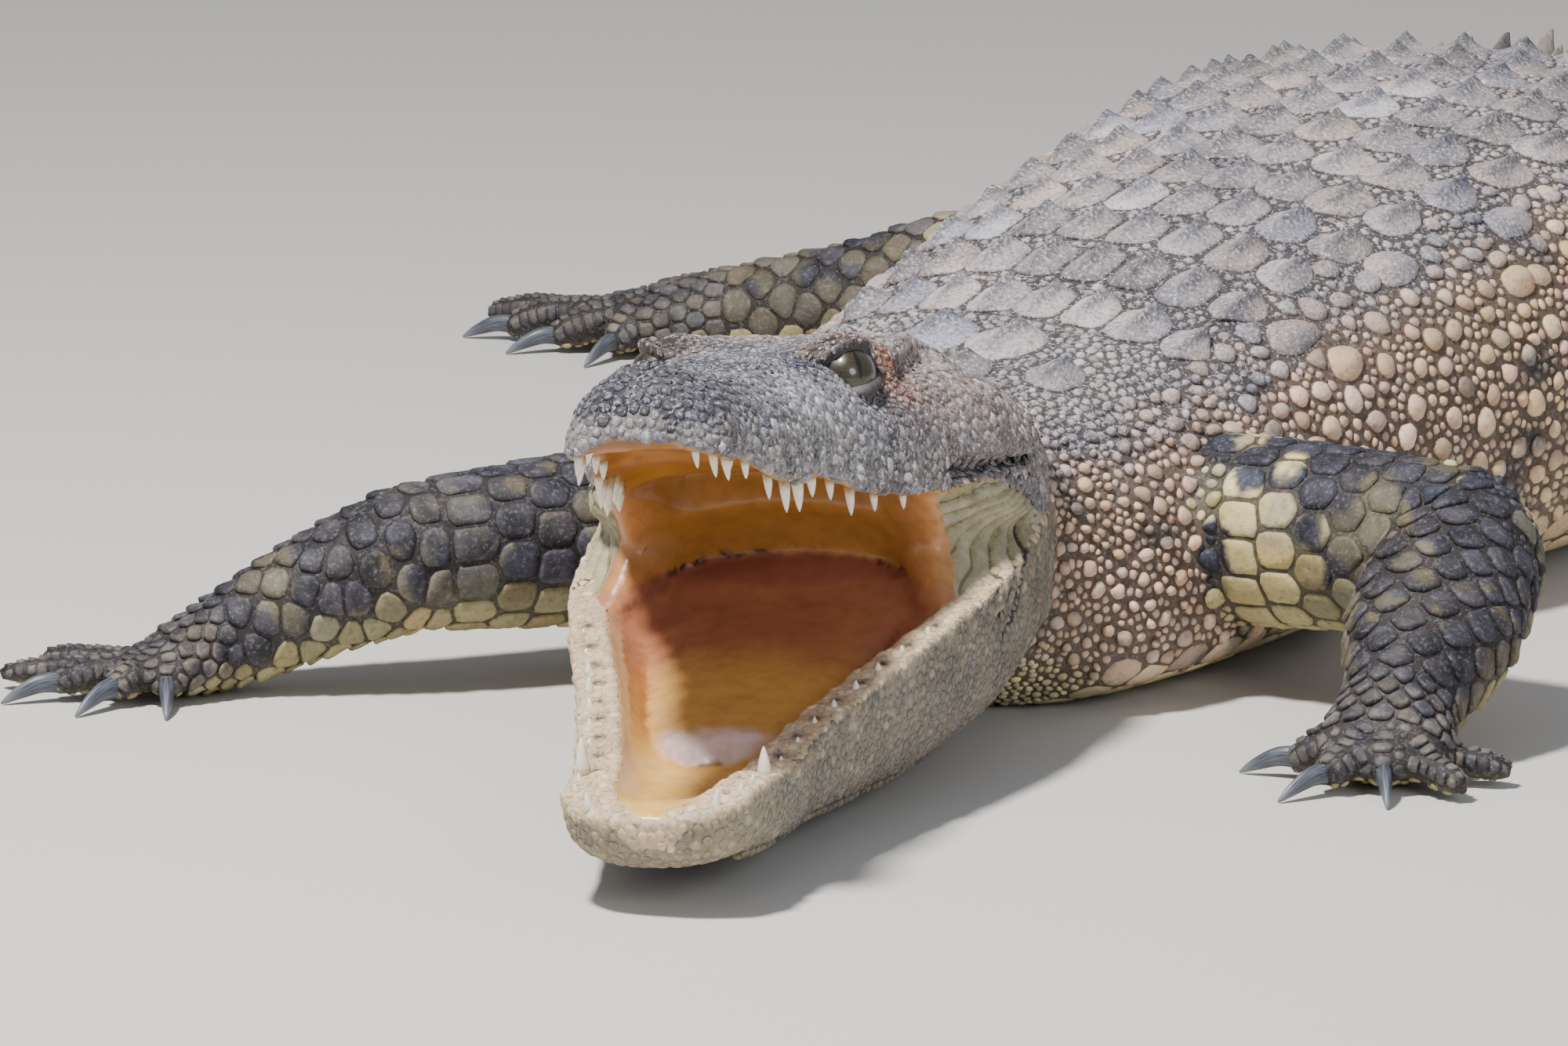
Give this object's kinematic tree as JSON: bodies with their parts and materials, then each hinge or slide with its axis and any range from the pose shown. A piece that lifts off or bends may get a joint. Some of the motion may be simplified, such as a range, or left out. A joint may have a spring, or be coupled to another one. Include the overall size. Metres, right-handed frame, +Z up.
{
  "type": "saltwater crocodile",
  "caption": "Life-size saltwater crocodile resting on its belly, mouth wide open, trunk and tail curved, legs sprawled; a still museum model.",
  "frame": {"origin": "on the floor, under the middle of the bounding box", "axes": "+Z up; the head points mostly to -Y and a little to -X; the tail curls round to +X at the +Y end"},
  "size_m": [2.6087, 2.7549, 0.39],
  "materials": {
    "back_skin": "dry pale grey horny plates over dark skin",
    "jaw_skin": "grey-tan finely grained skin, cream at the rim",
    "limb_skin": "blue-black and cream square scales, slightly glossy",
    "mouth_lining": "moist orange-tan lining",
    "tongue": "moist yellow-tan",
    "eye": "wet olive-brown",
    "claw": "bluish grey horn"
  },
  "bodies": {
    "root": {"claw_fore_left_1": "claw", "claw_fore_left_2": "claw", "claw_fore_left_3": "claw", "claw_fore_right_1": "claw", "claw_fore_right_2": "claw", "claw_fore_right_3": "claw", "claw_hind_left_1": "claw", "claw_hind_left_2": "claw", "claw_hind_left_3": "claw", "claw_hind_right_1": "claw", "claw_hind_right_2": "claw", "claw_hind_right_3": "claw", "eye_left": "eye", "eye_right": "eye", "foot_left": "limb_skin", "foot_right": "limb_skin", "forearm_left": "limb_skin", "forearm_right": "limb_skin", "hand_left": "limb_skin", "hand_right": "limb_skin", "head": "back_skin", "lower_jaw": "jaw_skin", "neck": "back_skin", "shank_left": "limb_skin", "shank_right": "limb_skin", "tail_1": "back_skin", "tail_2": "back_skin", "tail_3": "back_skin", "tail_4": "back_skin", "thigh_left": "limb_skin", "thigh_right": "limb_skin", "throat": "mouth_lining", "tongue": "tongue", "trunk_front": "back_skin", "trunk_rear": "back_skin", "upper_arm_left": "limb_skin", "upper_arm_right": "limb_skin"}
  },
  "joints": []
}
